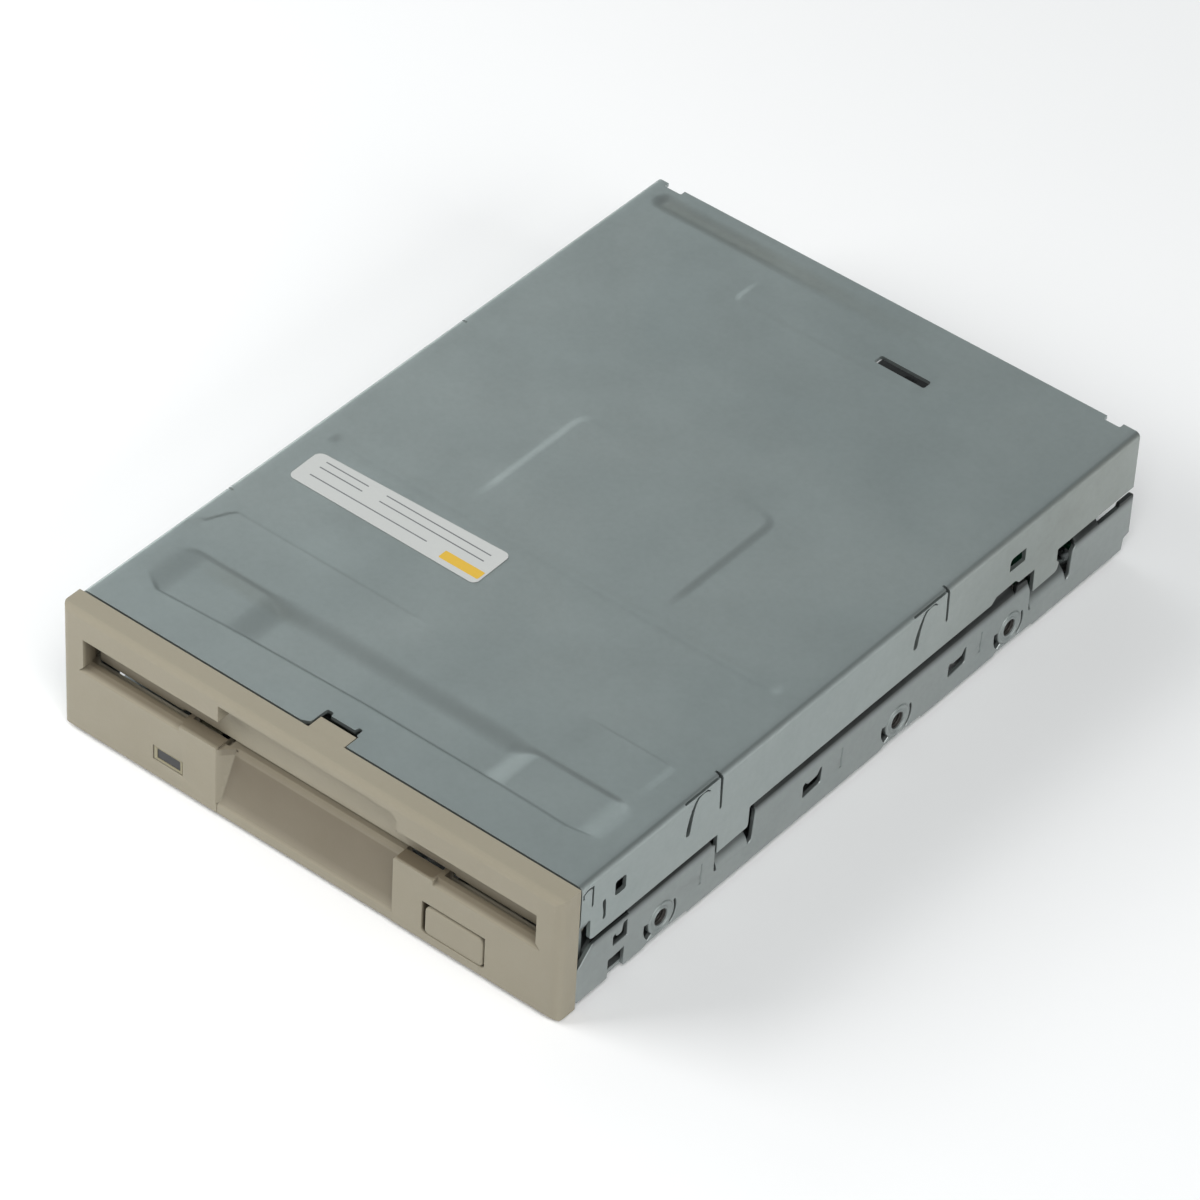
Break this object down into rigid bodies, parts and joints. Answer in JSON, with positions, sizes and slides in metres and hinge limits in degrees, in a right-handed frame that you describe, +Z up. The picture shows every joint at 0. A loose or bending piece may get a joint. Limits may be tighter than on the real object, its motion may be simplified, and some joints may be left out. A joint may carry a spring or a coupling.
{
  "type": "floppy disk drive",
  "caption": "Internal 3.5 inch floppy disk drive, one inch high: sheet steel case, beige bezel with hinged dust flap, eject button and lamp, and a full disk mechanism inside.",
  "frame": {"origin": "middle of the footprint, at the height of the four bottom bosses' faces", "axes": "+X to the right seen from the front, +Y to the rear, +Z up; the bezel faces -Y"},
  "size_m": [0.1016, 0.1488, 0.0254],
  "materials": {
    "zinc_plated_steel": "satin zinc plating",
    "bare_steel": "satin",
    "bright_steel": "polished",
    "beige_plastic": "fine matte texture",
    "black_plastic": "matte",
    "nylon": "satin",
    "clear_plastic": "gloss",
    "label_paper": "matte",
    "circuit_board": "solder mask",
    "polyimide_film": "gloss film",
    "copper_winding": "enamelled wire",
    "bronze": "sintered bronze",
    "gold_plated_pins": "polished",
    "aluminium": "satin",
    "ferrite": "matte",
    "ceramic": "polished"
  },
  "bodies": {
    "chassis": {"chassis_frame": "zinc_plated_steel", "top_cover": "zinc_plated_steel", "cover_label": "label_paper", "front_bezel": "beige_plastic", "flap_spring": "bright_steel", "led_lens": "clear_plastic", "lamp_holder": "black_plastic", "eject_spring_left": "bright_steel", "eject_spring_right": "bright_steel", "motor_board": "circuit_board", "stator_core": "copper_winding", "spindle_bearing": "bronze", "stepper_motor": "zinc_plated_steel", "stepper_bracket": "bare_steel", "screw_bearing": "nylon", "guide_rod": "bright_steel", "rod_clamp_front": "bare_steel", "rod_clamp_rear": "bare_steel", "track_zero_sensor": "black_plastic", "switch_block_left": "black_plastic", "switch_block_right": "black_plastic", "main_board": "circuit_board", "board_screw_1": "bright_steel", "board_screw_2": "bright_steel", "motor_screw_1": "bright_steel", "motor_screw_2": "bright_steel", "motor_screw_3": "bright_steel", "stepper_screw": "bright_steel", "controller_chip": "black_plastic", "driver_chip": "black_plastic", "board_capacitor": "aluminium", "data_connector": "black_plastic", "data_pins": "gold_plated_pins", "power_connector": "nylon", "power_pins": "bright_steel", "motor_flex_cable": "polyimide_film", "head_flex_cable": "polyimide_film", "flex_connector": "nylon"},
    "flap": {"slot_flap": "beige_plastic"},
    "slider": {"eject_slider": "bare_steel", "eject_button": "beige_plastic"},
    "holder": {"media_holder": "zinc_plated_steel"},
    "lever": {"shutter_lever": "nylon", "lever_spring": "bright_steel"},
    "rotor": {"rotor_dish": "bare_steel", "rotor_magnet": "ferrite", "spindle_hub": "aluminium", "spindle_shaft": "bright_steel"},
    "pin": {"drive_pin": "bright_steel"},
    "carriage": {"head_carriage": "black_plastic", "lower_head": "ceramic", "screw_follower": "nylon", "arm_spring": "bright_steel", "arm_hinge_pin": "bright_steel"},
    "upper_arm": {"upper_head_arm": "black_plastic", "upper_head": "ceramic"},
    "screw": {"lead_screw": "bright_steel"},
    "density_switch": {"density_plunger": "nylon"},
    "protect_switch": {"protect_plunger": "nylon"},
    "disk_in_switch": {"disk_in_plunger": "nylon"}
  },
  "joints": [
    {"name": "eject_slide", "type": "slide", "parent": "chassis", "child": "slider", "axis": [0, -1, 0], "range_m": [0, 0.005], "deforming": ["eject_spring_left", "eject_spring_right"]},
    {"name": "holder_lift", "type": "slide", "parent": "chassis", "child": "holder", "axis": [0, 0, -1], "range_m": [0, 0.0022]},
    {"name": "shutter_lever_swing", "type": "hinge", "parent": "holder", "child": "lever", "pos_m": [0.04, 0.0256, 0.021], "axis": [0, 0, 1], "range_deg": [-46, 0]},
    {"name": "flap_swing", "type": "hinge", "parent": "chassis", "child": "flap", "pos_m": [0, -0.07065, 0.022], "axis": [1, 0, 0], "range_deg": [0, 72], "stiffness_Nm_per_rad": 0.0003, "springref_deg": -22.92},
    {"name": "spindle_spin", "type": "hinge", "parent": "chassis", "child": "rotor", "pos_m": [0, -0.0179, 0.009], "axis": [0, 0, 1], "continuous": true},
    {"name": "drive_pin_press", "type": "slide", "parent": "rotor", "child": "pin", "axis": [0, 0, -1], "range_m": [0, 0.001], "stiffness_N_per_m": 30},
    {"name": "head_seek", "type": "slide", "parent": "chassis", "child": "carriage", "axis": [0, -1, 0], "range_m": [0, 0.0148], "deforming": ["head_flex_cable"]},
    {"name": "lead_screw_turn", "type": "hinge", "parent": "chassis", "child": "screw", "pos_m": [-0.015, 0.0256, 0.01], "axis": [0, 1, 0], "range_deg": [0, 1422]},
    {"name": "head_arm_lower", "type": "hinge", "parent": "carriage", "child": "upper_arm", "pos_m": [0, 0.0426, 0.0172], "axis": [1, 0, 0], "range_deg": [0, 9.8]},
    {"name": "density_switch_press", "type": "slide", "parent": "chassis", "child": "density_switch", "axis": [0, 0, -1], "range_m": [0, 0.0012], "stiffness_N_per_m": 10},
    {"name": "protect_switch_press", "type": "slide", "parent": "chassis", "child": "protect_switch", "axis": [0, 0, -1], "range_m": [0, 0.0012], "stiffness_N_per_m": 10},
    {"name": "disk_in_switch_press", "type": "slide", "parent": "chassis", "child": "disk_in_switch", "axis": [0, 0, -1], "range_m": [0, 0.0012], "stiffness_N_per_m": 10}
  ],
  "couplings": [
    {"joint": "holder_lift", "follows": "eject_slide", "ratio": 0.44},
    {"joint": "shutter_lever_swing", "follows": "eject_slide", "rad_per_m": -159.5},
    {"joint": "head_arm_lower", "follows": "eject_slide", "rad_per_m": 34.2},
    {"joint": "lead_screw_turn", "follows": "head_seek", "rad_per_m": 1675.5}
  ]
}
